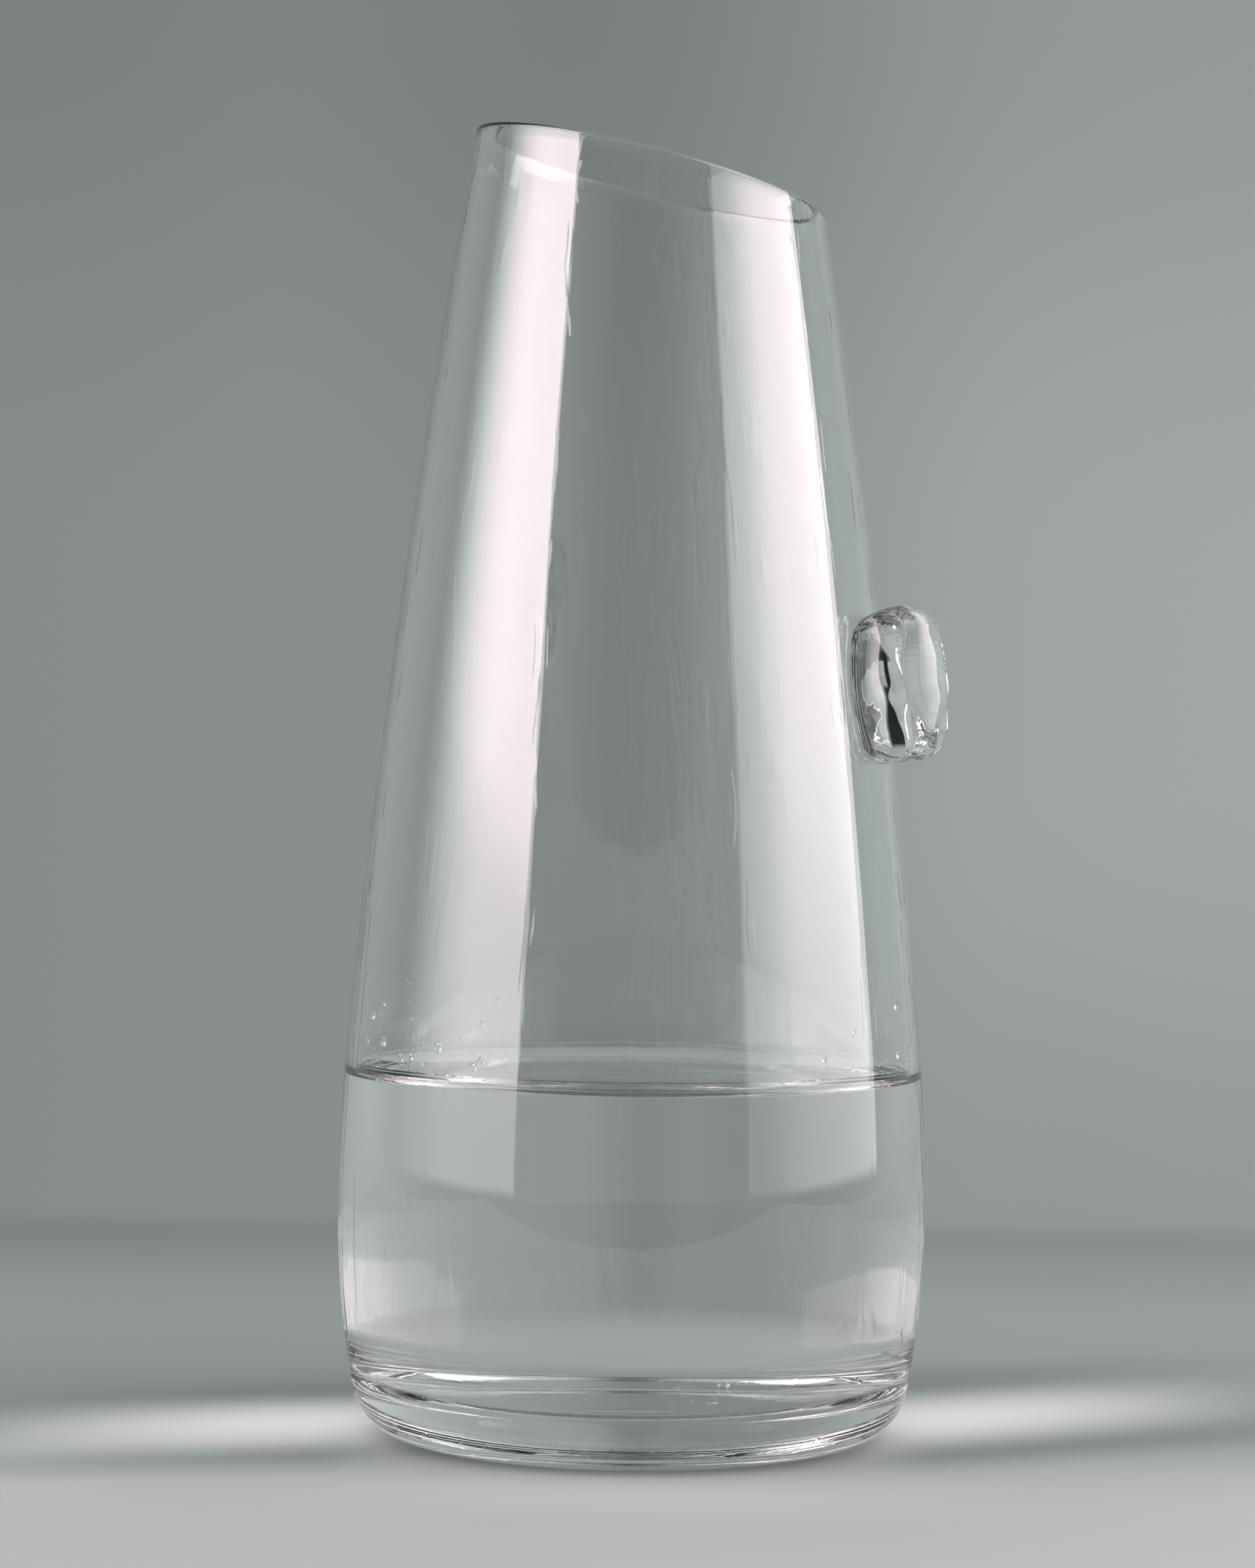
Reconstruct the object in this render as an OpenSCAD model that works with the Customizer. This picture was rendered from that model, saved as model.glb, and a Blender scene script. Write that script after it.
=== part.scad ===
// Water carafe of clear blown glass: a heavy foot, a soft belly, a long cone with a slanted mouth,
// a folded strip of glass on the wall as a grip for the thumb, and the water that stands in it.
// The axis stands at the origin, the table is the plane of the foot, and the low side of the
// mouth points along X.

/* [Body] */
// Greatest outer diameter, at the belly
belly_d = 117.8; // [112:0.1:124]
// Height of the widest place above the table
belly_h = 42.6; // [39:0.1:46]
// Radius of the wall's curve from the widest place down to the heel
under_curve = 176; // [165:1:190]
// Height above the widest place at which the belly passes into the cone
belly_rise = 44.4; // [40:0.1:48]
// Lean of the wall at that height, as a share of the straight lean from the belly to the mouth
belly_lean_share = 0.845; // [0.8:0.005:0.9]
// Outer diameter of the cone at the middle of the mouth
mouth_d = 69.9; // [66:0.1:73]
// Height of the middle of the mouth above the table
mouth_h = 253.7; // [245:0.1:262]
// Slant of the mouth, in degrees
mouth_slant = 13.3; // [8:0.1:18]

/* [Foot] */
// Radius of the rounded heel between the wall and the foot
heel_r = 11; // [9:0.1:12.5]
// Width of the flat ring on which the carafe stands
foot_ring_w = 18.5; // [10:0.1:26]
// Rise of the hollow inside the foot ring
push_up = 2; // [0.8:0.1:3]
// Radius of the flat in the middle of the hollow
hollow_flat_r = 4; // [3:0.1:10]

/* [Wall] */
// Thickness of the wall at the belly
wall_t = 2.3; // [1.8:0.1:2.8]
// Thickness of the wall at the mouth
rim_t = 1.7; // [1.3:0.1:2.1]
// Thickness of the glass under the flat of the inner floor
floor_t = 9.7; // [8:0.1:12]
// Radius of the inside corner between the floor and the wall
corner_r = 15; // [11:0.1:20]

/* [Water] */
// Height of the water's level surface above the table
water_h = 71.4; // [60:0.1:90]
// Height to which the water climbs at the wall
climb_h = 3.2; // [2.4:0.1:3.6]
// Radius of the curve in which the water climbs
climb_r = 4.3; // [3.8:0.1:5]

/* [Thumb grip] */
// Height of the middle of the grip above the table
grip_h = 150.1; // [140:0.1:165]
// Angle of the grip around the axis, in degrees from the low side of the mouth
grip_turn = -16; // [-30:1:30]
// Length of the grip up the wall
grip_len = 30.3; // [27:0.1:35]
// Width of the strip around the wall, where it lies on the wall
grip_w = 35; // [30:0.5:39]
// Width of the strip at the outside of the lobe
ridge_w = 11.5; // [8:0.5:16]
// Thickness of the leg that lies on the wall
leg_t = 6; // [5.4:0.1:6.8]
// Thickness of the strip at the top of its fold
fold_t = 2.6; // [2:0.1:3.4]
// Greatest thickness of the lobe that hangs outside
lobe_t = 7; // [6:0.1:8]
// Width of the slit between the leg and the lobe
slit_w = 1.6; // [1.2:0.1:2.4]
// Thickness of the lip that curls back under the leg
lip_t = 2.2; // [1.8:0.1:3]
// Depth to which the leg is pressed into the wall's curve
seat_bite = 1.2; // [0.8:0.1:1.6]

/* [Hidden] */

// steps along each curve of a wall, from the foot up, and around the axis
heel_steps = 14;
under_steps = 10;
belly_steps = 8;
cone_steps = 16;
hollow_steps = 8;
climb_fn = 96;
turn_fn = 192;

// the outer wall: one curve up to the widest place, one above it, and a very flat one for the cone
belly_r = belly_d / 2;
mouth_r = mouth_d / 2;
belly_tilt = belly_lean_share * atan((belly_r - mouth_r) / (mouth_h - belly_h));
belly_curve = belly_rise / sin(belly_tilt);
top_h = mouth_h + mouth_d * tan(mouth_slant);
cut_size = top_h + belly_d;

function along(angle) = [cos(angle), sin(angle)];

// points on an arc, without its first one
function arc(middle, r, from, to, steps) =
    [for (i = [1 : steps]) middle + r * along(from + (to - from) * i / steps)];

// radius of the curve that leaves one point along a wall of a given tilt and passes through another
function curve_through(from, tilt, to) =
    let (step = to - from) (step * step) / (-2 * (along(tilt) * step));

// where the belly passes into the cone, on the outside and at a depth in the wall
function join(inset) =
    [belly_r - belly_curve, belly_h] + (belly_curve - inset) * along(belly_tilt);

outer_cone = curve_through(join(0), belly_tilt, [mouth_r, mouth_h]);
inner_cone = curve_through(join(wall_t), belly_tilt, [mouth_r - rim_t, mouth_h]);
outer_middle = join(0) - outer_cone * along(belly_tilt);
inner_middle = join(wall_t) - inner_cone * along(belly_tilt);

// angle at which the round foot of a wall passes into the curve under the belly, and the middle
// of that round foot: it touches the level of its base and the curve from inside
function foot_turn(curve, round_r, base_h) =
    -asin((belly_h - base_h - round_r) / (curve - round_r));
function foot_middle(curve, round_r, base_h) =
    [belly_r - under_curve, belly_h]
        + (curve - round_r) * along(foot_turn(curve, round_r, base_h));

// one side of the wall, from the axis at its base to the axis above the mouth: a round foot, the
// curve under the belly, the curve above it, and the cone
function side_outline(inset, cone_middle, cone_curve, round_r, base_h) =
    let (under = under_curve - inset,
         turn = foot_turn(under, round_r, base_h),
         foot = foot_middle(under, round_r, base_h))
    concat(
        [[0, base_h], [foot.x, base_h]],
        arc(foot, round_r, -90, turn, heel_steps),
        arc([belly_r - under_curve, belly_h], under, turn, 0, under_steps),
        arc([belly_r - belly_curve, belly_h], belly_curve - inset, 0, belly_tilt, belly_steps),
        arc(cone_middle, cone_curve, belly_tilt, asin((top_h - cone_middle.y) / cone_curve),
            cone_steps),
        [[0, top_h]]
    );

// the hollow in the foot rises in a shallow curve from the flat ring to its own flat middle
ring_in = foot_middle(under_curve, heel_r, 0).x - foot_ring_w;
hollow_run = ring_in - hollow_flat_r;
hollow_r = (hollow_run * hollow_run + push_up * push_up) / (2 * push_up);
hollow_turn = asin(hollow_run / hollow_r);

// outer radius of the cone at a height, how far its wall leans in there, and the inner radius of
// the wall just above the belly, where the water's edge stands
function cone_radius(h) =
    outer_middle.x + sqrt(outer_cone * outer_cone - pow(h - outer_middle.y, 2));
function cone_lean(h) = asin((h - outer_middle.y) / outer_cone);
function belly_inside(h) =
    belly_r - belly_curve + sqrt(pow(belly_curve - wall_t, 2) - pow(h - belly_h, 2));

module outer_section() {
    polygon(side_outline(0, outer_middle, outer_cone, heel_r, 0));
}

module inner_section() {
    polygon(side_outline(wall_t, inner_middle, inner_cone, corner_r, floor_t));
}

module hollow_section() {
    polygon(concat(
        [[0, 0], [ring_in, 0]],
        arc([hollow_flat_r, push_up - hollow_r], hollow_r, 90 - hollow_turn, 90, hollow_steps),
        [[0, push_up]]
    ));
}

// blown body: outer form less the inside, with a shallow hollow in the foot, cut off at a slant
module vessel() {
    color([0.82, 0.87, 0.87, 0.35])
    difference() {
        rotate_extrude($fn = turn_fn) difference() {
            outer_section();
            inner_section();
            hollow_section();
        }
        translate([0, 0, mouth_h]) rotate([0, mouth_slant, 0])
            translate([-cut_size / 2, -cut_size / 2, 0]) cube(cut_size);
    }
}

// water: fills the inside up to its level and climbs the wall in a small round curve
module water() {
    reach = sqrt(climb_r * climb_r - pow(climb_r - climb_h, 2));
    edge = belly_inside(water_h + climb_h) - reach;
    color([0.75, 0.85, 0.88, 0.3])
    rotate_extrude($fn = turn_fn) difference() {
        intersection() {
            inner_section();
            square([belly_d, water_h + climb_r]);
        }
        translate([0, water_h]) square([edge, 2 * climb_r]);
        translate([edge, water_h + climb_r]) circle(r = climb_r, $fn = climb_fn);
    }
}

// thumb grip: the path of the strip's middle, seen from the side. It is laid out in a frame that
// leans with the wall: first number away from the wall, second up along it
leg_mid = leg_t / 2;
lobe_mid = leg_t + slit_w + lobe_t / 2;
reach = leg_t + slit_w + lobe_t;
fold_r = (lobe_mid - leg_mid) / 2;
fold_h = grip_len / 2 - fold_r - fold_t / 2;
leg_low = leg_t / 8 - grip_len / 2;
curl_r = lobe_mid - leg_t - slit_w / 2;
curl_tall_share = 1.2;
curl_tall = curl_tall_share * curl_r;
curl_h = curl_tall + lip_t / 2 - grip_len / 2;

// thickness of the lobe where it leaves the fold and where it passes into the curl, as shares, how
// much the strip spreads toward its foot, and how square its section is
lobe_top_share = 0.75;
lobe_end_share = 0.62;
spread_share = 0.045;
square_share = 0.34;

leg_steps = 12;
fold_steps = 14;
lobe_steps = 9;
curl_steps = 11;
sides = 32;

// each station: [away from wall, up the wall, heading in degrees, half thickness]
// on the leg the strip heads up, in the fold it thins and turns over outward, on the lobe it heads
// down and is thickest, and in the curl it turns in toward the foot of the leg
function fold_side(t) = t < 0.5 ? leg_t : lobe_top_share * lobe_t;
leg_stations = [
    for (i = [0 : leg_steps - 1]) let (t = i / leg_steps)
        [leg_mid, leg_low + t * (fold_h - leg_low), 90, leg_t / 2]
];
fold_stations = [
    for (i = [0 : fold_steps - 1]) let (t = i / fold_steps, turn = 180 * (1 - t))
        [leg_mid + fold_r + fold_r * cos(turn), fold_h + fold_r * sin(turn), turn - 90,
         (fold_t + (fold_side(t) - fold_t) * cos(turn) * cos(turn)) / 2]
];
lobe_stations = [
    for (i = [0 : lobe_steps - 1])
        let (t = i / lobe_steps,
             share = 1 - (1 - lobe_top_share) * pow(1 - t, 6) - (1 - lobe_end_share) * pow(t, 3))
        [lobe_mid, fold_h + t * (curl_h - fold_h), -90, share * lobe_t / 2]
];
curl_stations = [
    for (i = [0 : curl_steps]) let (t = i / curl_steps, turn = 90 * t)
        [lobe_mid - curl_r + curl_r * cos(turn), curl_h - curl_tall * sin(turn),
         atan2(-curl_tall * cos(turn), -curl_r * sin(turn)),
         (lip_t + (lobe_end_share * lobe_t - lip_t) * pow(1 - t, 2)) / 2]
];
stations = concat(leg_stations, fold_stations, lobe_stations, curl_stations);
last = len(stations) - 1;

// the strip's two ends close like a pill: how much of its section is left near each end
cap_steps_share = [0.45, 0.72, 0.88, 0.97];
function closing(i) =
    let (near = min(i, last - i))
    near < len(cap_steps_share) ? cap_steps_share[near] : 1;

// height of the wall's lean and the place of the grip's own frame
grip_lean = cone_lean(grip_h);
grip_wall_r = cone_radius(grip_h);

function rounded(c) = sign(c) * pow(abs(c), square_share);

// width of the strip at a distance from the wall: its two sides slope to the ridge of the lobe
function strip_w(away, up) =
    (grip_w + (ridge_w - grip_w) * away / reach) * (1 - spread_share * up / (grip_len / 2));

// one point of the strip's rounded section, bent round the wall
function strip_point(s, size, side) =
    let (turn = 360 * side / sides,
         thick = s[3] * size * rounded(cos(turn)),
         away = s[0] - thick * sin(s[2]),
         wide = strip_w(away, s[1]) / 2 * (0.5 + size / 2) * rounded(sin(turn)))
    [away - wide * wide / (2 * grip_wall_r), wide, s[1] + thick * cos(s[2])];

strip_points = concat(
    [for (i = [0 : last]) for (j = [0 : sides - 1]) strip_point(stations[i], closing(i), j)],
    [[stations[0][0], 0, stations[0][1] - leg_t / 8]],
    [[stations[last][0] - lip_t / 8, 0, stations[last][1]]]
);
first_pole = sides * (last + 1);

strip_faces = concat(
    [for (i = [0 : last - 1]) for (j = [0 : sides - 1])
        [i * sides + j, i * sides + (j + 1) % sides, (i + 1) * sides + j]],
    [for (i = [0 : last - 1]) for (j = [0 : sides - 1])
        [i * sides + (j + 1) % sides, (i + 1) * sides + (j + 1) % sides, (i + 1) * sides + j]],
    [for (j = [0 : sides - 1]) [first_pole, (j + 1) % sides, j]],
    [for (j = [0 : sides - 1]) [first_pole + 1, last * sides + j, last * sides + (j + 1) % sides]]
);

// folded strip of glass, seated on the wall: its back is the wall's own curve
module thumb_grip() {
    color([0.80, 0.85, 0.85, 0.4])
    difference() {
        rotate([0, 0, grip_turn]) translate([grip_wall_r, 0, grip_h]) rotate([0, -grip_lean, 0])
            translate([-seat_bite, 0, 0]) polyhedron(strip_points, strip_faces, convexity = 6);
        rotate_extrude($fn = turn_fn) outer_section();
    }
}

vessel();
thumb_grip();
water();
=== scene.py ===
import bpy
import numpy as np
from mathutils import Matrix, Vector


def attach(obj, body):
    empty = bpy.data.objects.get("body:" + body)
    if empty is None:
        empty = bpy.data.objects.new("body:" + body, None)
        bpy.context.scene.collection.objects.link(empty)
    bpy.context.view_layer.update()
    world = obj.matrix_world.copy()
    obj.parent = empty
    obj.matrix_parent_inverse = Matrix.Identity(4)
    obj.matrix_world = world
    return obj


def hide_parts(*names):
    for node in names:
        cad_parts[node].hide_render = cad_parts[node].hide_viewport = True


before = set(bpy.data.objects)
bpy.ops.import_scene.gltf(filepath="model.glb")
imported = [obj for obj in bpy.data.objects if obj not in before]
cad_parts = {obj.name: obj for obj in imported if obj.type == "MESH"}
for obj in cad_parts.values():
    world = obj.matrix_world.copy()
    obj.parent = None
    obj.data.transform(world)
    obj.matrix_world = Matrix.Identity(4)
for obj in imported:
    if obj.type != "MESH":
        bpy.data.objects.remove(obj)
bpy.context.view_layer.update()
scene = bpy.context.scene

# Camera. A long lens stands 0.8 m in front of the carafe at half its height, aimed a little down
# and held a touch out of level, so that the upright carafe leans to the right in the picture.
MM = 0.001
PHOTO_LONG_SIDE = 2156
SENSOR_MM = 36.0
LENS_PX = 5500
EYE = Vector((-1.83, -805.2, 133.4)) * MM
EYE_PITCH = np.radians(0.219)
EYE_ROLL = np.radians(0.70)

forward = Vector((0, np.cos(EYE_PITCH), -np.sin(EYE_PITCH)))
level_right = Vector((1, 0, 0))
level_up = level_right.cross(forward)
eye_right = level_right * np.cos(EYE_ROLL) + level_up * np.sin(EYE_ROLL)
eye_up = level_up * np.cos(EYE_ROLL) - level_right * np.sin(EYE_ROLL)

camera_data = bpy.data.cameras.new("camera")
camera_data.sensor_width = SENSOR_MM
camera_data.lens = SENSOR_MM * LENS_PX / PHOTO_LONG_SIDE
camera = bpy.data.objects.new("camera", camera_data)
scene.collection.objects.link(camera)
eye_axes = Matrix((eye_right, eye_up, -forward)).transposed().to_4x4()
camera.matrix_world = Matrix.Translation(EYE) @ eye_axes
scene.camera = camera

# Vessel. One gather of clear soda glass, blown and left heavy at the foot, its mouth cut at a
# slant and polished round in the flame. Its wall is about 2 mm thick and nowhere quite even.
BELLY_R = 58.9
BELLY_H = 42.6
BELLY_RISE = 44.4
BELLY_LEAN_SHARE = 0.845
UNDER_CURVE = 176.0
MOUTH_R = 34.95
MOUTH_H = 253.7
MOUTH_SLANT = np.tan(np.radians(13.3))
HEEL_R = 11.0
FOOT_RING_W = 18.5
PUSH_UP = 2.0
HOLLOW_FLAT_R = 4.0
WALL_T = 2.3
RIM_T = 1.7
LIP_H = 0.8
FLOOR_T = 9.7
CORNER_R = 15.0
WATER_H = 71.4
CLIMB_H = 3.2
CLIMB_R = 4.3
COLUMNS = 384
OUTER_STEPS = (14, 14, 16, 60)
INNER_STEPS = (16, 12, 30, 60)
HOLLOW_STEPS = 12
LIP_STEPS = 10

turn = np.arange(COLUMNS) * 2 * np.pi / COLUMNS
belly_tilt = BELLY_LEAN_SHARE * np.arctan((BELLY_R - MOUTH_R) / (MOUTH_H - BELLY_H))
belly_curve = BELLY_RISE / np.sin(belly_tilt)
shore_h = WATER_H + CLIMB_H


def along(angle):
    """Unit vectors (cos, sin) of an angle or an array of angles."""
    return np.stack([np.cos(angle), np.sin(angle)], -1)


def arc(middle, r, start, end, steps):
    """Points middle + r (cos a, sin a) for a from start to end, without the first one."""
    return middle + r * along(start + (end - start) * np.arange(1, steps + 1) / steps)


def cone_curve(inset, rim_inset):
    """Middle and radius of the flat curve of the cone: it leaves the belly along the wall, at a
    depth of inset, and passes through the middle of the mouth at a depth of rim_inset."""
    join = np.array([BELLY_R - belly_curve, BELLY_H]) + (belly_curve - inset) * along(belly_tilt)
    step = np.array([MOUTH_R - rim_inset, MOUTH_H]) - join
    curve = step @ step / (-2 * (along(belly_tilt) @ step))
    return join - curve * along(belly_tilt), curve, join


def foot_curve(inset, round_r, base_h):
    """Middle of the round foot of a wall, and the angle at which it meets the curve under the
    belly: it touches the level of its base and that curve from inside."""
    under = UNDER_CURVE - inset
    meet = -np.arcsin((BELLY_H - base_h - round_r) / (under - round_r))
    return np.array([BELLY_R - UNDER_CURVE, BELLY_H]) + (under - round_r) * along(meet), meet


def cone_rows(inset, rim_inset, lip, steps):
    """Radius and height of the rings of the cone, steps x columns: from the belly up to the slanted
    plane z = mouth height - lip - slant x, found by stepping to the height where both agree."""
    middle, curve, join = cone_curve(inset, rim_inset)
    top = np.full(COLUMNS, MOUTH_H)
    for _ in range(8):
        r = middle[0] + np.sqrt(curve**2 - (top - middle[1]) ** 2)
        top = MOUTH_H - lip - MOUTH_SLANT * r * np.cos(turn)
    share = np.arange(1, steps + 1)[:, None] / steps
    height = join[1] + share * (top - join[1])
    return middle[0] + np.sqrt(curve**2 - (height - middle[1]) ** 2), height


def rings(points):
    """Radius and height of plain rings, points x columns, from an outline of (r, z) points."""
    points = np.atleast_2d(points)
    return np.repeat(points[:, :1], COLUMNS, 1), np.repeat(points[:, 1:], COLUMNS, 1)


def side_rows(inset, rim_inset, round_r, base_h, steps, lip=0.0, top_h=None):
    """Rings of one side of the wall from its base up: round foot, curve under the belly, belly and
    cone, with the four counts of steps. With top_h it stops at that height in the belly."""
    foot, meet = foot_curve(inset, round_r, base_h)
    belly_end = belly_tilt
    if top_h is not None:
        belly_end = np.arcsin((top_h - BELLY_H) / (belly_curve - inset))
    under_middle = np.array([BELLY_R - UNDER_CURVE, BELLY_H])
    belly_middle = np.array([BELLY_R - belly_curve, BELLY_H])
    outline = np.concatenate([
        [[foot[0], base_h]],
        arc(foot, round_r, -np.pi / 2, meet, steps[0]),
        arc(under_middle, UNDER_CURVE - inset, meet, 0, steps[1]),
        arc(belly_middle, belly_curve - inset, 0, belly_end, steps[2]),
    ])
    if top_h is not None:
        return rings(outline)
    parts = [rings(outline), cone_rows(inset, rim_inset, lip, steps[3])]
    return tuple(np.concatenate(rows) for rows in zip(*parts))


def closed_faces(rows, columns):
    """Faces over a grid of points whose rows run round, closed by two poles that come after it:
    quads from each row to the next, then a fan round the first pole and a fan round the last."""
    i, j = np.meshgrid(np.arange(rows - 1) * columns, np.arange(columns), indexing="ij")
    after = (j + 1) % columns
    quads = np.stack([i + j, i + after, i + columns + after, i + columns + j], -1)
    first = np.arange(columns)
    second = (first + 1) % columns
    last = (rows - 1) * columns
    pole = np.full(columns, rows * columns)
    first_fan = np.stack([pole, second, first], -1)
    last_fan = np.stack([last + first, last + second, pole + 1], -1)
    return quads.reshape(-1, 4), np.concatenate([first_fan, last_fan])


def smooth_mesh(name, points, quads, fans):
    """A smooth-shaded mesh of points in mm, its quads first and then its fans of triangles."""
    mesh = bpy.data.meshes.new(name)
    mesh.from_pydata((points * MM).tolist(), [], quads.tolist() + fans.tolist())
    mesh.shade_smooth()
    return mesh


def turned_mesh(name, radius, height, low, high):
    """Closed surface turned about the axis. Ring i of column j lies at (radius cos turn, radius sin
    turn, height), and the rings run from the point at height low on the axis to the one at high."""
    grid = np.stack([radius * np.cos(turn), radius * np.sin(turn), height], -1)
    points = np.concatenate([grid.reshape(-1, 3), [[0, 0, low], [0, 0, high]]])
    return smooth_mesh(name, points, *closed_faces(*radius.shape))


def place(name, mesh, materials, node=None, slot=None):
    """Puts a mesh in the scene as a piece of the carafe's root body, with its materials, and hides
    the imported part of the node it stands for.
    """
    piece = bpy.data.objects.new(name, mesh)
    scene.collection.objects.link(piece)
    for material in materials:
        mesh.materials.append(material)
    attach(piece, "root")
    if node:
        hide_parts(node)
    return piece


class Socket:
    """An output of a node tree. Arithmetic on it adds Math nodes, and add() adds any other node."""

    def __init__(self, socket):
        self.socket = socket

    @staticmethod
    def add(tree, kind, settings=None, values=None, out=0):
        """Adds a node of a kind: first its settings, then the values or links of its inputs."""
        node = tree.nodes.new(kind)
        for name, value in (settings or {}).items():
            setattr(node, name, value)
        for name, value in (values or {}).items():
            if isinstance(value, Socket):
                tree.links.new(value.socket, node.inputs[name])
            else:
                node.inputs[name].default_value = value
        return Socket(node.outputs[out]) if node.outputs else node

    def other(self, name):
        """Another output of the same node."""
        return Socket(self.socket.node.outputs[name])

    def split(self):
        """The three numbers of a vector."""
        parts = Socket.add(self.socket.id_data, "ShaderNodeSeparateXYZ", None, {"Vector": self})
        return tuple(parts.other(name) for name in "XYZ")

    def math(self, operation, first, second=0.0):
        tree = self.socket.id_data
        return Socket.add(tree, "ShaderNodeMath", {"operation": operation}, {0: first, 1: second})

    def __add__(self, other):
        return self.math("ADD", self, other)

    def __radd__(self, other):
        return self.math("ADD", other, self)

    def __sub__(self, other):
        return self.math("SUBTRACT", self, other)

    def __rsub__(self, other):
        return self.math("SUBTRACT", other, self)

    def __mul__(self, other):
        return self.math("MULTIPLY", self, other)

    def __rmul__(self, other):
        return self.math("MULTIPLY", other, self)

    def __truediv__(self, other):
        """A vector divided by a number."""
        tree = self.socket.id_data
        values = {0: self, "Scale": 1 / other}
        return Socket.add(tree, "ShaderNodeVectorMath", {"operation": "SCALE"}, values)

    def __abs__(self):
        return self.math("ABSOLUTE", self)

    def __gt__(self, other):
        return self.math("GREATER_THAN", self, other)

    def at_most(self, limit):
        return self.math("MINIMUM", self, limit)

    def ease(self, low, high, start=0.0, end=1.0):
        """Smooth step from start at low to end at high."""
        settings = {"interpolation_type": "SMOOTHSTEP"}
        values = {"Value": self, "From Min": low, "From Max": high,
                  "To Min": start, "To Max": end}
        return Socket.add(self.socket.id_data, "ShaderNodeMapRange", settings, values)


def new_tree(name):
    """A material with an empty node tree."""
    material = bpy.data.materials.new(name)
    material.use_nodes = True
    material.node_tree.nodes.clear()
    return material, material.node_tree


CORD_STRETCH = 0.08
CORD_SCALE = 130.0
STREAK_SCALE = 420.0
STREAK_EDGE = (0.64, 0.74)
STREAK_SHARE = 0.5
CORD_DEPTH = 0.2


def clear_surface(tree, ior, tint=(1, 1, 1), wave=0.0):
    """Clear glass or water: a smooth refracting surface. Its normal wavers with soft cords and a
    few finer streaks, which blowing leaves in the wall, long along the axis and narrow round it."""
    place_in = Socket.add(tree, "ShaderNodeTexCoord", out="Object")
    stretched = Socket.add(tree, "ShaderNodeMapping", None,
                           {"Vector": place_in, "Scale": (1, 1, CORD_STRETCH)})
    cords = Socket.add(tree, "ShaderNodeTexNoise", None,
                       {"Vector": stretched, "Scale": CORD_SCALE, "Detail": 1.0})
    streaks = Socket.add(tree, "ShaderNodeTexNoise", None,
                         {"Vector": stretched, "Scale": STREAK_SCALE, "Detail": 0.0})
    height = cords + streaks.ease(*STREAK_EDGE) * STREAK_SHARE
    bump = Socket.add(tree, "ShaderNodeBump", None,
                      {"Height": height, "Strength": wave, "Distance": CORD_DEPTH * MM})
    return Socket.add(tree, "ShaderNodeBsdfPrincipled", None,
                      {"Base Color": (*tint, 1), "Roughness": 0.0, "IOR": ior,
                       "Transmission Weight": 1.0, "Normal": bump})


def show(tree, surface, kind="Material"):
    """Makes a surface the one that its material or the world shows."""
    Socket.add(tree, "ShaderNodeOutput" + kind, None, {"Surface": surface})


def clear_material(name, ior, tint=(1, 1, 1), wave=0.0):
    """A material that is nothing but a clear surface."""
    material, tree = new_tree(name)
    show(tree, clear_surface(tree, ior, tint, wave))
    return material


# the underside: a flat middle, the shallow hollow and the flat ring of the foot
foot_middle = foot_curve(0, HEEL_R, 0)[0]
ring_in = foot_middle[0] - FOOT_RING_W
hollow_run = ring_in - HOLLOW_FLAT_R
hollow_curve = (hollow_run**2 + PUSH_UP**2) / (2 * PUSH_UP)
hollow_end = np.pi / 2 - np.arcsin(hollow_run / hollow_curve)
hollow_middle = np.array([HOLLOW_FLAT_R, PUSH_UP - hollow_curve])
hollow = arc(hollow_middle, hollow_curve, np.pi / 2, hollow_end, HOLLOW_STEPS)
flat = [[HOLLOW_FLAT_R / 2, PUSH_UP], [HOLLOW_FLAT_R, PUSH_UP]]
under_rows = rings(np.concatenate([flat, hollow]))
outer_rows = side_rows(0, 0, HEEL_R, 0, OUTER_STEPS, lip=LIP_H)
inner_rows = side_rows(WALL_T, RIM_T, CORNER_R, FLOOR_T, INNER_STEPS, lip=LIP_H)
inner_rows = tuple(rows[::-1] for rows in inner_rows)

# the lip: half an ellipse from the outer to the inner edge of the cut, seen along the wall
lip_turn = np.linspace(0, np.pi, LIP_STEPS + 1)[1:-1, None]
lip_out = (1 + np.cos(lip_turn)) / 2
lip_rows = tuple(
    lip_out * outer[-1] + (1 - lip_out) * inner[0] + rise * np.sin(lip_turn)
    for outer, inner, rise in zip(outer_rows, inner_rows, (0, LIP_H))
)
all_rows = zip(under_rows, outer_rows, lip_rows, inner_rows)
radius, height = (np.concatenate(rows) for rows in all_rows)
vessel_mesh = turned_mesh("vessel_glass", radius, height, PUSH_UP, FLOOR_T)

# the part of the inside that the water covers bends light from glass to water
ring_count = len(radius)
wet_row = ring_count - len(inner_rows[0]) + int(np.sum(inner_rows[1][:, 0] > shore_h))
wet = np.zeros(len(vessel_mesh.polygons), int)
wet[wet_row * COLUMNS:(ring_count - 1) * COLUMNS] = 1
wet[ring_count * COLUMNS:] = 1
vessel_mesh.polygons.foreach_set("material_index", wet)

AIR_TO_GLASS = 1.5
AIR_TO_WATER = 1.333
GLASS_TINT = (0.955, 0.965, 0.963)
GLASS_WAVE = 0.12
clear_glass = clear_material("clear_glass", AIR_TO_GLASS, GLASS_TINT, GLASS_WAVE)
wet_glass = clear_material("glass_against_water", AIR_TO_GLASS / AIR_TO_WATER)
place("carafe_body", vessel_mesh, (clear_glass, wet_glass), "vessel", "clear_glass")

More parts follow.
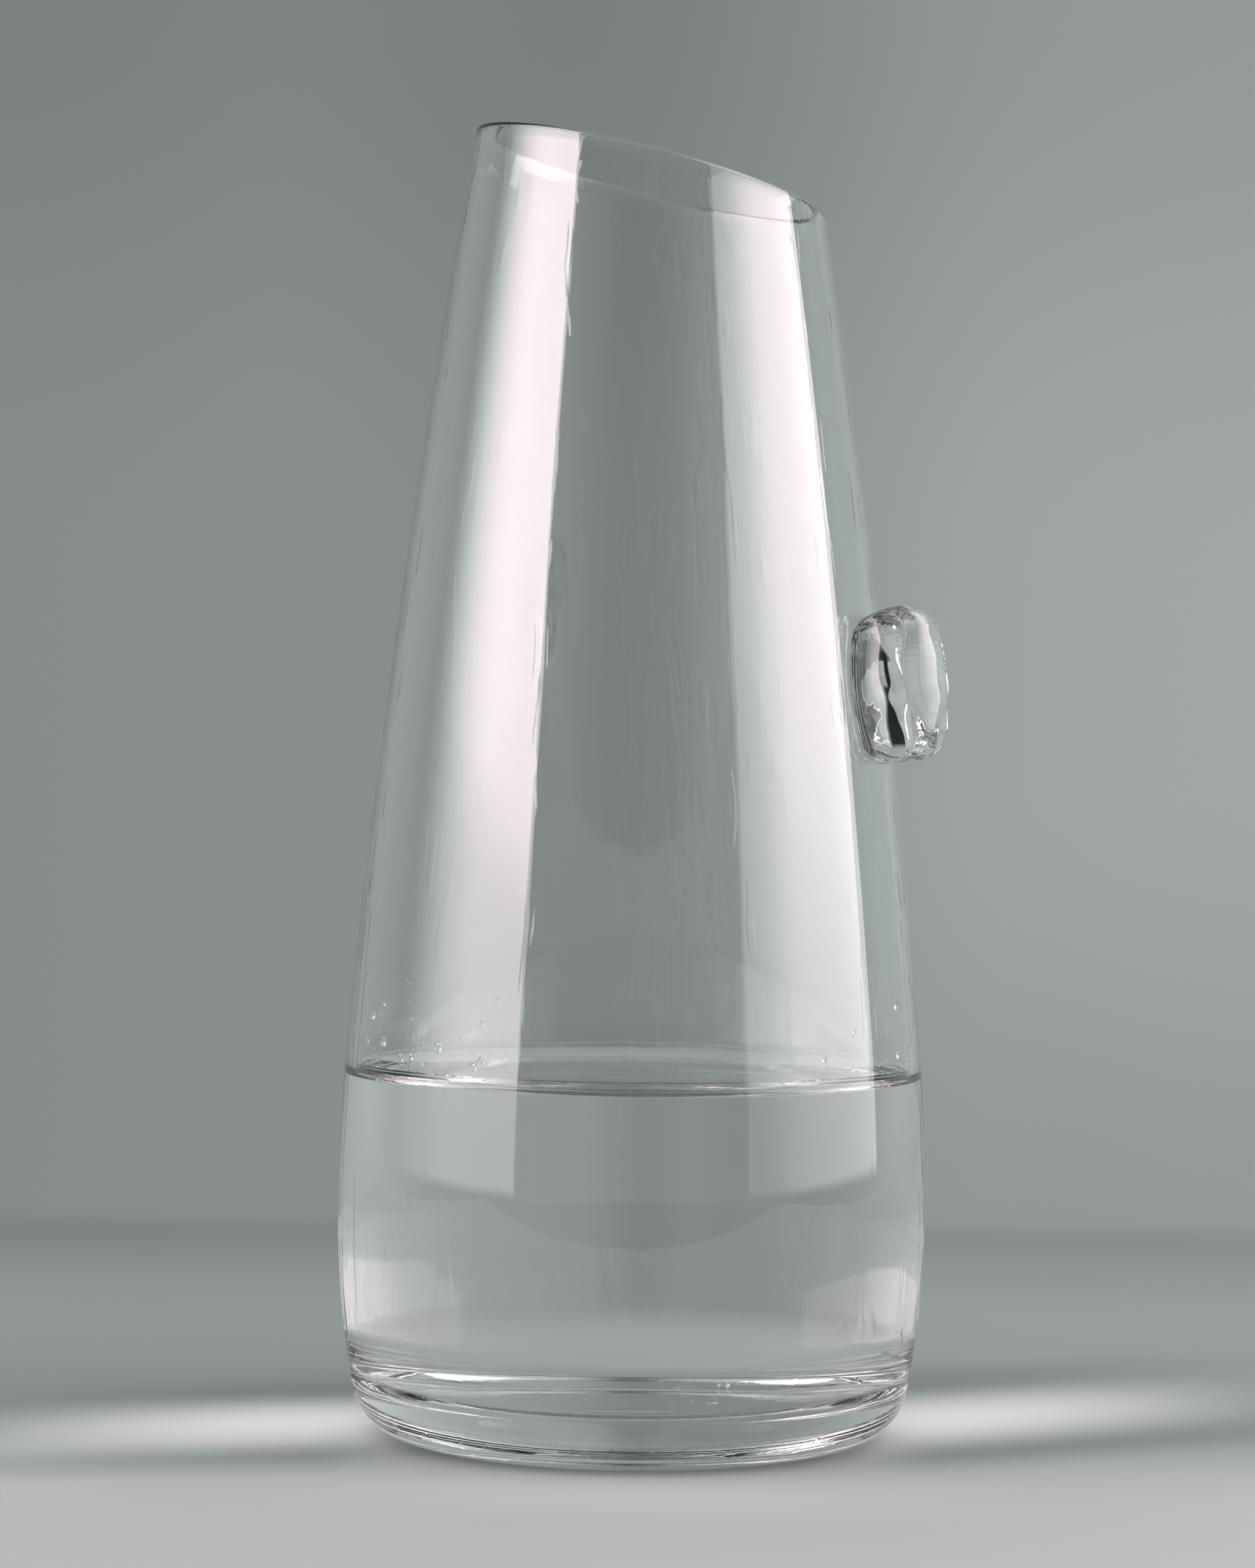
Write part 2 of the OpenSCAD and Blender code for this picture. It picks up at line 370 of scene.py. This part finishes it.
# Water. It stands a quarter of the way up, level, and climbs the clean glass in a small curve.
# Only its top is a surface to the eye: where it touches the glass the wall itself bends the light.
GAP = 0.02
FILL_STEPS = (16, 12, 24)
CLIMB_STEPS = 14
inside = side_rows(WALL_T + GAP, RIM_T, CORNER_R, FLOOR_T + GAP, FILL_STEPS, top_h=shore_h)
reach = np.sqrt(CLIMB_R**2 - (CLIMB_R - CLIMB_H) ** 2)
shore_r = inside[0][-1, 0]
edge = shore_r - reach
climb_end = np.arctan2(CLIMB_H - CLIMB_R, reach)
climb = arc(np.array([edge, WATER_H + CLIMB_R]), CLIMB_R, -np.pi / 2, climb_end, CLIMB_STEPS)
still = [[edge / 3, WATER_H], [edge * 2 / 3, WATER_H], [edge, WATER_H]]
top_rows = rings(np.concatenate([still, climb[:-1]])[::-1])
radius, height = (np.concatenate(rows) for rows in zip(inside, top_rows))
water_mesh = turned_mesh("water_fill", radius, height, FLOOR_T + GAP, WATER_H)

# its sides and its bottom fan, which touch the glass
hidden = np.zeros(len(water_mesh.polygons), int)
hidden[:(len(inside[0]) - 1) * COLUMNS] = 1
hidden[-2 * COLUMNS:-COLUMNS] = 1
water_mesh.polygons.foreach_set("material_index", hidden)

water_top = clear_material("water_surface", AIR_TO_WATER)
unseen, tree = new_tree("water_against_glass")
show(tree, Socket.add(tree, "ShaderNodeBsdfTransparent"))
place("water_fill", water_mesh, (water_top, unseen), "water", "water")

# Air bubbles. Small beads of air came out of the water and cling to the inner floor; the largest
# sits a little right of the middle.
BEAD_RINGS = 11
BEAD_COLUMNS = 20


def beads(name, middles, radii, facing=0.0, depth=1.0, tall=1.0):
    """Closed small balls joined in one mesh: middle + radius (cos tilt cos turn, cos tilt sin turn,
    sin tilt), each turned to face an angle about the axis, thinned by depth and stretched by tall."""
    middles, radii = np.atleast_2d(middles), np.asarray(radii, float)
    facing = np.broadcast_to(facing, radii.shape)
    tilt = np.linspace(-np.pi / 2, np.pi / 2, BEAD_RINGS + 2)[1:-1, None]
    bead_turn = np.arange(BEAD_COLUMNS) * 2 * np.pi / BEAD_COLUMNS
    ball = (np.cos(tilt) * np.cos(bead_turn), np.cos(tilt) * np.sin(bead_turn), np.sin(tilt))
    grid = np.stack(np.broadcast_arrays(*ball), -1).reshape(-1, 3)
    unit = np.concatenate([grid, [[0, 0, -1], [0, 0, 1]]]) * (depth, 1, tall)
    none = 0 * facing
    outward = np.stack([np.cos(facing), np.sin(facing), none], -1)
    sideways = np.stack([-np.sin(facing), np.cos(facing), none], -1)
    upward = np.stack([none, none, none + 1], -1)
    shaped = unit @ np.stack([outward, sideways, upward], 1)
    points = middles[:, None] + shaped * radii[:, None, None]
    quads, fans = closed_faces(BEAD_RINGS, BEAD_COLUMNS)
    offsets = np.arange(len(radii))[:, None, None] * len(unit)
    quads, fans = (quads + offsets).reshape(-1, 4), (fans + offsets).reshape(-1, 3)
    return smooth_mesh(name, points.reshape(-1, 3), quads, fans)


# the clear ones: across, along the floor and radius in mm
BUBBLES = [
    (14.2, 0.6, 1.05), (4.4, 17.0, 0.297), (8.2, 17.0, 0.3375), (7.2, 0.0, 0.324),
    (15.2, 14.0, 0.324), (16.6, 12.5, 0.297), (10.3, -25.5, 0.27), (-7.0, -29.0, 0.27),
    (14.0, -20.5, 0.324), (6.3, -40.5, 0.216), (6.1, -45.0, 0.189), (16.0, -38.5, 0.27),
    (12.2, -42.0, 0.216), (22.0, -20.0, 0.27), (20.0, -46.0, 0.216), (-20.0, 3.0, 0.243),
    (-30.0, -12.0, 0.2025), (25.0, 6.0, 0.216), (-12.0, 21.0, 0.2025), (31.0, -6.0, 0.2025),
]
LOOSE_BUBBLES = 26
LOOSE_REACH = 46
random = np.random.default_rng(21)
loose_r = np.sqrt(random.uniform(0.02, 0.8, LOOSE_BUBBLES)) * LOOSE_REACH
loose_turn = random.uniform(0, 2 * np.pi, LOOSE_BUBBLES)
loose_size = random.uniform(0.06, 0.14, LOOSE_BUBBLES)
loose = np.column_stack([loose_r[:, None] * along(loose_turn), loose_size])
bubbles = np.concatenate([BUBBLES, loose])
floor_r = inside[0][0, 0]
bubbles = bubbles[np.hypot(bubbles[:, 0], bubbles[:, 1]) < floor_r]
bubble_middles = np.column_stack([bubbles[:, :2], FLOOR_T + 3 * GAP + bubbles[:, 2]])
bubble_mesh = beads("air_bubbles", bubble_middles, bubbles[:, 2])
air, tree = new_tree("air_in_water")
skin = Socket.add(tree, "ShaderNodeBsdfGlass", None, {"Roughness": 0.0, "IOR": 1 / AIR_TO_WATER})
show(tree, skin)
place("air_bubbles", bubble_mesh, (air,))

# Drops. Small drops cling to the inside of the wall just above the water, most of them at the
# left, where the carafe was last tilted, and every fifth at the right.
DROPS = 70
FAR_EVERY = 5
DROPS_LEFT = (-178, -118)
DROPS_RIGHT = (-50, -10)
DROP_ABOVE = 1.5
DROP_REACH = 16
DROP_SMALL = 0.18
DROP_SPREAD = 0.85
DROP_SINK = 0.12
DROP_DEPTH = 0.45
DROP_TALL = 1.25
drop_turn = np.radians(random.uniform(*DROPS_LEFT, DROPS))
drop_h = shore_h + DROP_ABOVE + random.uniform(0, 1, DROPS) ** 1.6 * DROP_REACH
drop_size = DROP_SMALL + random.uniform(0, 1, DROPS) ** 3 * DROP_SPREAD
far = np.arange(DROPS) % FAR_EVERY == 0
drop_turn = np.where(far, np.radians(random.uniform(*DROPS_RIGHT, DROPS)), drop_turn)
wall_curve = belly_curve - WALL_T
wall_angle = np.arcsin(np.clip((drop_h - BELLY_H) / wall_curve, 0, 1))
drop_r = BELLY_R - belly_curve + wall_curve * np.cos(wall_angle) - DROP_SINK * drop_size
drop_middles = np.column_stack([drop_r[:, None] * along(drop_turn), drop_h])
drop_mesh = beads("drops_on_wall", drop_middles, drop_size, drop_turn, DROP_DEPTH, DROP_TALL)
place("drops_on_wall", drop_mesh, (water_top,))

# Thumb grip. A hot strip of the same glass, pressed on the wall, folded over and drawn down again
# as a heavy lobe, with an uneven slit behind it and its end curled in. The tongs wrinkled its skin.
GRIP_H = 150.1
GRIP_TURN = np.radians(-16)
GRIP_LEN = 30.3
GRIP_W = 35.0
RIDGE_W = 11.5
LEG_T = 6.0
FOLD_T = 2.6
LOBE_T = 7.0
SLIT_W = 1.6
LIP_T = 2.2
SEAT_BITE = 1.2
CURL_TALL = 1.2
LOBE_TOP = 0.75
LOBE_END = 0.62
TOP_TAPER = 0.045
END_TAPER = 0.30
SQUARE = 0.6
GRIP_SIDES = 120
LEG_STEPS = 70
LOBE_STEPS = 60

leg_mid = LEG_T / 2
lobe_mid = LEG_T + SLIT_W + LOBE_T / 2
fold_r = (lobe_mid - leg_mid) / 2
fold_h = GRIP_LEN / 2 - fold_r - FOLD_T / 2
leg_low = -GRIP_LEN / 2
curl_r = lobe_mid - LEG_T - SLIT_W / 2
curl_tall = CURL_TALL * curl_r
curl_h = curl_tall + LIP_T / 2 - GRIP_LEN / 2


def strip_part(share, away, up, heading, thick):
    """Stations of one part of the strip, one row each: distance from the wall, place up along it,
    heading and half thickness."""
    columns = [np.broadcast_to(column, share.shape) for column in (away, up, heading, thick / 2)]
    return np.stack(columns, -1)


# the leg up the wall, half a turn over the top, the lobe hanging down and a quarter turn back in
share = np.arange(LEG_STEPS) / LEG_STEPS
leg = strip_part(share, leg_mid, leg_low + share * (fold_h - leg_low), np.pi / 2, LEG_T)
over = np.pi * (1 - share)
side_t = np.where(share < 0.5, LEG_T, LOBE_TOP * LOBE_T)
fold_away = leg_mid + fold_r * (1 + np.cos(over))
fold_up = fold_h + fold_r * np.sin(over)
fold_t = FOLD_T + (side_t - FOLD_T) * np.cos(over) ** 2
fold = strip_part(share, fold_away, fold_up, over - np.pi / 2, fold_t)
share = np.arange(LOBE_STEPS) / LOBE_STEPS
lobe_t = LOBE_T * (1 - (1 - LOBE_TOP) * (1 - share) ** 6 - (1 - LOBE_END) * share**3)
lobe = strip_part(share, lobe_mid, fold_h + share * (curl_h - fold_h), -np.pi / 2, lobe_t)
share = np.arange(LOBE_STEPS + 1) / LOBE_STEPS
under = np.pi / 2 * share
curl_away = lobe_mid - curl_r * (1 - np.cos(under))
curl_up = curl_h - curl_tall * np.sin(under)
curl_heading = np.arctan2(-curl_tall * np.cos(under), -curl_r * np.sin(under))
curl_t = LIP_T + (LOBE_END * LOBE_T - LIP_T) * (1 - share) ** 2
curl = strip_part(share, curl_away, curl_up, curl_heading, curl_t)
stations = np.concatenate([leg, fold, lobe, curl])
away, up, heading, thick = stations.T[:, :, None]
stretches = np.hypot(*np.diff(stations[:, :2], axis=0).T)
run = np.concatenate([[0], np.cumsum(stretches)])[:, None]
run_end = run[-1, 0]


def waves(seed, count, low, high, first, second):
    """Sum of count sine waves over two coordinates in mm, of lengths from low to high and random
    directions and phases, scaled to a spread of about one."""
    random = np.random.default_rng(seed)
    direction, phase = random.uniform(0, 2 * np.pi, (2, count))
    number = 2 * np.pi / random.uniform(low, high, count)
    total = sum(np.sin(n * (first * np.cos(a) + second * np.sin(a)) + b)
                for n, a, b in zip(number, direction, phase))
    return total * np.sqrt(2 / count)


def bell(place, middle, half_width):
    """A socket's distance from the middle: one there, falling smoothly to zero at half_width."""
    return abs(place - middle).ease(0, half_width, 1, 0)


def hump(place, middle, half_width):
    """Cosine hump of height one round the middle, zero beyond half_width."""
    return 0.5 + 0.5 * np.cos(np.pi * np.clip((place - middle) / half_width, -1, 1))


# how the section closes at each end, like a pill, and its rounded outline: the cosine and the
# sine of the angle round it, each to the power SQUARE
end_gap = np.minimum(run / (LEG_T / 2), (run_end - run) / (LIP_T / 2))
closing = np.sqrt(1 - (1 - np.clip(end_gap, 0.002, 1)) ** 2)
side = np.arange(GRIP_SIDES)[None, :] * 2 * np.pi / GRIP_SIDES
box_cos = np.sign(np.cos(side)) * np.abs(np.cos(side)) ** SQUARE
box_sin = np.sign(np.sin(side)) * np.abs(np.sin(side)) ** SQUARE
slit_side = np.clip(-np.cos(side) * 2, 0, 1)
outer_side = np.clip(np.cos(side) * 2, 0, 1)
lobe_run = run[len(leg) + len(fold), 0]
lobe_part = np.clip((run - lobe_run) / 3, 0, 1)

# the hand's marks, in mm of thickness: soft waves all over, wrinkles on the fold and at both ends,
# a swelling of the leg into the slit, and ripples on the lobe's side of it
SOFT_WAVE = 0.14
FOLD_WRINKLE = 0.06
END_WRINKLE = 0.04
LEG_BULGE = 0.45
LEG_DIP = 0.1
RIPPLE = 0.05
RIPPLE_LEN = 1.15
rough_width = GRIP_W / 2 * box_sin
soft = waves(11, 9, 7, 16, run, rough_width * 0.8) * SOFT_WAVE
top_wrinkles = waves(12, 14, 1.4, 3.2, run, rough_width) * FOLD_WRINKLE * hump(run, lobe_run - 6, 8)
leg_shape = LEG_BULGE * hump(up, -3, 5) - LEG_DIP * hump(up, 5, 6)
leg_bulge = slit_side * (1 - lobe_part) * leg_shape
ripples = np.sin(2 * np.pi * up / RIPPLE_LEN) * hump(up, 5, 6)
ripples = slit_side * lobe_part * RIPPLE * ripples
foot_texture = waves(13, 16, 0.8, 1.8, run, rough_width) * END_WRINKLE * hump(run, 2, 8)
lip_texture = waves(14, 16, 0.7, 1.6, run, rough_width) * END_WRINKLE * hump(run, run_end, 7)
marks = soft + top_wrinkles + leg_bulge + ripples + foot_texture + lip_texture
free_part = np.clip((run - run[len(leg), 0]) / 4, 0, 1)
marks = marks * (1 - outer_side * (1 - free_part)) * closing
thickness = thick * closing * box_cos + marks * np.sign(box_cos) * np.abs(np.cos(side)) ** 0.5

# each point lies its thickness off the strip's middle line, square to the heading, and its width
# to the side: the strip narrows away from the wall, follows the wall's bend and leans with it
full_depth = LEG_T + SLIT_W + LOBE_T
local_x = away - thickness * np.sin(heading)
end_share = up / (GRIP_LEN / 2)
spread = 1 - TOP_TAPER * end_share - END_TAPER * end_share**2
width = (GRIP_W + (RIDGE_W - GRIP_W) * local_x / full_depth) / 2
width = width * spread * (0.5 + closing / 2) * box_sin
grip_middle, grip_curve, _ = cone_curve(0, 0)
lean = np.arcsin((GRIP_H - grip_middle[1]) / grip_curve)
wall_r = grip_middle[0] + grip_curve * np.cos(lean)
local_x = local_x - width**2 / (2 * wall_r) - SEAT_BITE
local_z = up + thickness * np.cos(heading)
out = wall_r + local_x * np.cos(lean) - local_z * np.sin(lean)
rise = GRIP_H + local_x * np.sin(lean) + local_z * np.cos(lean)
grip_x = out * np.cos(GRIP_TURN) - width * np.sin(GRIP_TURN)
grip_y = out * np.sin(GRIP_TURN) + width * np.cos(GRIP_TURN)
grid = np.stack([grip_x, grip_y, rise], -1)
points = np.concatenate([grid.reshape(-1, 3), grid[[0, -1]].mean(1)])
quads, fans = closed_faces(len(grid), GRIP_SIDES)
grip_mesh = smooth_mesh("thumb_grip_glass", points, quads[:, ::-1], fans[:, ::-1])

# the skin of the strip: distance along it, and place through and across it, for the slit's painted
# shade
skin = np.stack(np.broadcast_arrays(run, np.cos(side), width), -1).reshape(-1, 3)
skin = np.concatenate([skin, skin[[0, -1]]])
skin_place = grip_mesh.attributes.new("skin", "FLOAT_VECTOR", "POINT")
skin_place.data.foreach_set("vector", skin.ravel())

# painted shade, a near-black matte surface mixed into the glass on the leg's side of the slit,
# where hardly any light gets in: narrow and pinched at mid height, wider below, tapered at its top
# and with one bright loop in it
PAINTED_SLIT_SHADE = (0.01, 0.012, 0.012)
SHADE_TO = -8.2
SHADE_SOFT = 0.25
PINCH = 2.2
FOOT_SPREAD = 4.5
TOP_DRAW = 6.0
LOOP_EDGE = (0.2, 0.6)
grip_glass, tree = new_tree("grip_glass")
skin_in = Socket.add(tree, "ShaderNodeAttribute", {"attribute_name": "skin"}, out="Vector")
along_strip, through_strip, across_strip = skin_in.split()
up_leg = along_strip - GRIP_LEN / 2
shade_end = SHADE_TO - PINCH * bell(up_leg, -2.6, 3.5) + up_leg.ease(-4, -12, 0, FOOT_SPREAD)
shade_end = shade_end - up_leg.ease(5, 9.5, 0, TOP_DRAW)
shade_share = across_strip.ease(shade_end - SHADE_SOFT, shade_end + SHADE_SOFT, 1.0, 0.0)
shade_share = shade_share * up_leg.ease(-13, -11.5) * up_leg.ease(11, 9)
shade_share = shade_share * through_strip.ease(-0.55, -0.7)
loop = bell(up_leg, 2.2, 4.6).ease(*LOOP_EDGE) * bell(across_strip, -10.6, 1.4).ease(*LOOP_EDGE)
shade_share = shade_share * (1 - loop)
# the painted shade itself: a near-black, nearly matte surface
shade = Socket.add(tree, "ShaderNodeBsdfPrincipled", None,
                   {"Base Color": (*PAINTED_SLIT_SHADE, 1), "Roughness": 0.6, "Specular IOR Level": 0.1})
glass = clear_surface(tree, AIR_TO_GLASS)
show(tree, Socket.add(tree, "ShaderNodeMixShader", None, {0: shade_share, 1: glass, 2: shade}))
place("thumb_grip_strip", grip_mesh, (grip_glass,), "thumb_grip", "grip_glass")

# Studio. A grey seamless backdrop hangs behind, darker at the left, a tall softbox stands at each
# side and the room behind the camera is dark. The world shows each by its direction, in degrees
# round from the camera's side and degrees up, and by the way the ray came.
world = bpy.data.worlds.new("studio")
scene.world = world
world.use_nodes = True
tree = world.node_tree
tree.nodes.clear()
look = Socket.add(tree, "ShaderNodeTexCoord", out="Generated")
across, back, above = look.split()
azimuth = across.math("ARCTAN2", across, 0.0 - back) * (180 / np.pi)
elevation = above.math("ARCSINE", above) * (180 / np.pi)

# a ray can come off the glass, through a wall, from deep in the glass and water, or off the paper
rays = Socket.add(tree, "ShaderNodeLightPath")
mirrored = rays.other("Glossy Depth") > 0.5
through = rays.other("Transmission Depth") > 0.5
deep = rays.other("Transmission Depth") > 2.5
scattered = rays.other("Diffuse Depth") > 0.5
inside_glass = mirrored * deep

# the backdrop's grey from the left to the right of the picture, less in a band down the middle, at
# its top and in its lower right corner, and more far out at both sides
BACKDROP_LEFT = 0.262
BACKDROP_RIGHT = 0.385
BACKDROP_REACH = 0.16
BAND_REACH = 0.1
BAND_DIM = 0.065
TOP_SHARE = 0.84
CORNER_DIM = 0.065
FAR_LIFT = 0.16
backdrop = across.ease(-BACKDROP_REACH, BACKDROP_REACH, BACKDROP_LEFT, BACKDROP_RIGHT)
backdrop = backdrop - bell(across, 0, BAND_REACH) * BAND_DIM
backdrop = backdrop * above.ease(0.05, 0.19, 1.0, TOP_SHARE)
backdrop = backdrop - across.ease(0, 0.12) * above.ease(0, -0.12, 0, CORNER_DIM)
backdrop = backdrop + abs(across).ease(0.2, 0.8, 0.0, FAR_LIFT)

# the softboxes' edges: where each one's light sets in and where it is full, and then its levels
# there where they aren't 0 and 1
LEFT_BACK = (-112, -68)
LEFT_FRONT = (-45.6, -46.4)
LEFT_UP = (8, 11, 1.0, 1.35)
RIGHT_FRONT = (44.6, 46.4)
RIGHT_FALL = (46, 78, 0.36, 1.0)
RIGHT_BACK = (110.5, 109.5)
BOX_BASE = (-4.1, -3.3)
BOX_LOWER = (-3, 16, 0.5, 1.0)
BOX_TOP = (70, 50)
BOX_TOP_INSIDE = (34, 44)
left_box = azimuth.ease(*LEFT_BACK) * azimuth.ease(*LEFT_FRONT) * elevation.ease(*LEFT_UP)
right_box = azimuth.ease(*RIGHT_FRONT) * azimuth.ease(*RIGHT_FALL) * azimuth.ease(*RIGHT_BACK)
box_height = elevation.ease(*BOX_BASE) * elevation.ease(*BOX_LOWER) * elevation.ease(*BOX_TOP)
box_height = box_height * (1 - mirrored * through * elevation.ease(*BOX_TOP_INSIDE))
softboxes = (left_box + right_box) * box_height

# how bright each is: off the glass, through one wall, through water and from inside the glass
SOFTBOX = 6.5
SOFTBOX_THIN = 1.2
SOFTBOX_THROUGH = 1.1
SOFTBOX_INSIDE = 1.6
INSIDE_BASE = (2.9, 3.9)
DARK_ROOM = 0.05
ROOM_EDGE = (95, 125)
ROOM_EDGE_INSIDE = (10, 45)
behind = abs(azimuth).ease(*ROOM_EDGE)
behind = behind + inside_glass * (abs(azimuth).ease(*ROOM_EDGE_INSIDE) - behind)
room = behind * backdrop + (1 - behind) * DARK_ROOM
seen = (1 - mirrored) * backdrop + mirrored * room
bent = through * (SOFTBOX_THIN - deep * (SOFTBOX_THIN - SOFTBOX_THROUGH))
boxes_inside = elevation.ease(*INSIDE_BASE, 0.0, SOFTBOX_INSIDE)
box_level = mirrored * SOFTBOX - inside_glass * (SOFTBOX - boxes_inside) + (1 - mirrored) * bent
seen = seen + softboxes * box_level

# the two bright patches low in the water, where the far wall turns the softboxes' light back, each
# with an inner edge that moves between two heights, and a weaker glow in the foot and the shore
PATCH = 1.1
PATCH_LEFT = (3, 9, 41, 35)
PATCH_RIGHT = (3, 8, 47, 36)
PATCH_TOP = (22, 12)
PATCH_FAR = (62, 50)
INSIDE_GLOW = 0.5
left_edge, right_edge = elevation.ease(*PATCH_LEFT), elevation.ease(*PATCH_RIGHT)
patches = (azimuth - left_edge).ease(0, 1) + (0.0 - azimuth - right_edge).ease(0, 1)
patches = patches * elevation.ease(*INSIDE_BASE) * elevation.ease(*PATCH_TOP)
patches = patches * abs(azimuth).ease(*PATCH_FAR)
seen = seen + inside_glass * (patches * PATCH + bell(abs(azimuth), 60, 55) * INSIDE_GLOW)

# the grey is faintly green and the softboxes faintly pink; the paper gets a plain, even light
PLAIN_LIGHT = 0.92
GREY_TINT = (0.915, 1.0, 0.998)
SOFTBOX_TINT = (1.03, 0.88, 0.945)
light = seen * (1 - scattered) + scattered * PLAIN_LIGHT
warm = (softboxes + patches * inside_glass).at_most(1.0) * (1 - scattered)
tint = Socket.add(tree, "ShaderNodeMix", {"data_type": "VECTOR"},
                  {0: warm, 4: GREY_TINT, 5: SOFTBOX_TINT}, out=1)
colour = Socket.add(tree, "ShaderNodeVectorMath", {"operation": "SCALE"}, {0: tint, "Scale": light})
sky = Socket.add(tree, "ShaderNodeBackground", None, {"Color": colour, "Strength": 1.0})
show(tree, sky, "World")

# Table. A sheet of pale paper lies on it and fades out towards the backdrop. Its grey has light
# and shade painted in: at each side of the carafe a painted glow stands for the light that water
# and foot gather from a softbox, between stripes of painted shadow.
TABLE_SIDE = 650.0
TABLE_FRONT = -430.0
TABLE_BACK = 420.0
TABLE_GAP = 0.05
corners = [(-TABLE_SIDE, TABLE_FRONT), (TABLE_SIDE, TABLE_FRONT),
           (TABLE_SIDE, TABLE_BACK), (-TABLE_SIDE, TABLE_BACK)]
table_mesh = bpy.data.meshes.new("table")
table_points = [(x * MM, y * MM, -TABLE_GAP * MM) for x, y in corners]
table_mesh.from_pydata(table_points, [], [(0, 1, 2, 3)])
table = bpy.data.objects.new("table", table_mesh)
scene.collection.objects.link(table)

# the paper's grey over its place in mm, with light painted in: lightest in front, with a soft
# painted pool of light before the foot
PAPER_FRONT = 0.575
PAPER_BACK = 0.345
POOL = 0.10
FAR_LIGHT = 0.02
FAR_DARK = 0.06
SIDE_LIGHT = (-0.012, 0.03)
THROUGH_LIFT = 0.05
paper, tree = new_tree("pale_paper")
table_mesh.materials.append(paper)
where = Socket.add(tree, "ShaderNodeTexCoord", out="Object") / MM
floor_x, floor_y, _ = where.split()
grey = floor_y.ease(-75, 25, PAPER_FRONT, PAPER_BACK)
grey = grey + bell(floor_x, 0, 85) * bell(floor_y, -66, 40) * POOL
# painted light and shade: a little lighter behind the carafe, darker towards the far edge, and
# lighter to the right than to the left
grey = grey + floor_y.ease(60, 120, 0, FAR_LIGHT) - floor_y.ease(160, 300, 0, FAR_DARK)
grey = grey + floor_x.ease(-160, 160, *SIDE_LIGHT)
# paper seen through the glass gets painted light further back
bent_ray = Socket.add(tree, "ShaderNodeLightPath").other("Transmission Depth") > 0.5
grey = grey + bent_ray * floor_y.ease(30, 90, 0, THROUGH_LIFT)

# each painted glow's side and slope on the paper, and across it its middle and its two stripes of
# painted shadow, in mm
GLOWS = ((-1, 0.23, 21, -20, 60), (1, 0.47, -10, -46, 36))
GLOW = 0.62
FRONT_SHADOW_STRIPE = 0.13
BACK_SHADOW_STRIPE = 0.06
for side, slope, middle, front, rear in GLOWS:
    outward = floor_x * side
    slant = (floor_y - floor_x * slope) * float(np.cos(np.arctan(slope)))
    beside = outward.ease(45, 62) * outward.ease(180, 60)
    gathered = outward.ease(22, 44) * outward.ease(150, 52)
    # painted shadow stripes darken the paper beside the foot, and the painted glow lightens it
    shadow_stripes = bell(slant, front, 24) * FRONT_SHADOW_STRIPE + bell(slant, rear, 30) * BACK_SHADOW_STRIPE
    grey = grey - shadow_stripes * beside + bell(slant, middle, 42) * gathered * GLOW

# the lighter the paper, the warmer it is
WARM_FROM = (0.34, 0.68)
WARM_RED = 1.107
WARM_BLUE = 1.034
red = grey * grey.ease(*WARM_FROM, 1.0, WARM_RED)
blue = grey * grey.ease(*WARM_FROM, 1.0, WARM_BLUE)
colour = Socket.add(tree, "ShaderNodeCombineColor", None, {"Red": red, "Green": grey, "Blue": blue})
matte = Socket.add(tree, "ShaderNodeBsdfDiffuse", None, {"Color": colour})
no_paper = Socket.add(tree, "ShaderNodeBsdfTransparent")
fade = floor_y.ease(250, 400, 1.0, 0.0)
show(tree, Socket.add(tree, "ShaderNodeMixShader", None, {0: fade, 1: no_paper, 2: matte}))

# Lamps. A weak lamp at each side, where the softbox is, lights the paper and the grip's painted
# shade a little from that side. The glass doesn't show them, because it shows the world's softboxes.
LAMP_W = 0.6
LAMP_SIZE = 1.0
LAMP_ASIDE = 1.1
LAMP_Y = -0.35
LAMP_H = 0.75
LAMP_AIM = Vector((0, 0, 0.1))
for name, side in (("lamp_left", -1), ("lamp_right", 1)):
    lamp_data = bpy.data.lights.new(name, "AREA")
    lamp_data.size = LAMP_SIZE
    lamp_data.energy = LAMP_W
    lamp = bpy.data.objects.new(name, lamp_data)
    scene.collection.objects.link(lamp)
    lamp.location = (side * LAMP_ASIDE, LAMP_Y, LAMP_H)
    lamp.rotation_euler = (LAMP_AIM - lamp.location).to_track_quat("-Z", "Y").to_euler()
    lamp.visible_camera = False
    lamp.visible_glossy = False
    lamp.visible_transmission = False

# Picture. Light runs round many times inside the thick foot and the grip, and the default limits
# would end it in black there.
scene.cycles.max_bounces = 32
scene.cycles.glossy_bounces = 24
scene.cycles.transmission_bounces = 32
scene.view_settings.view_transform = "Standard"
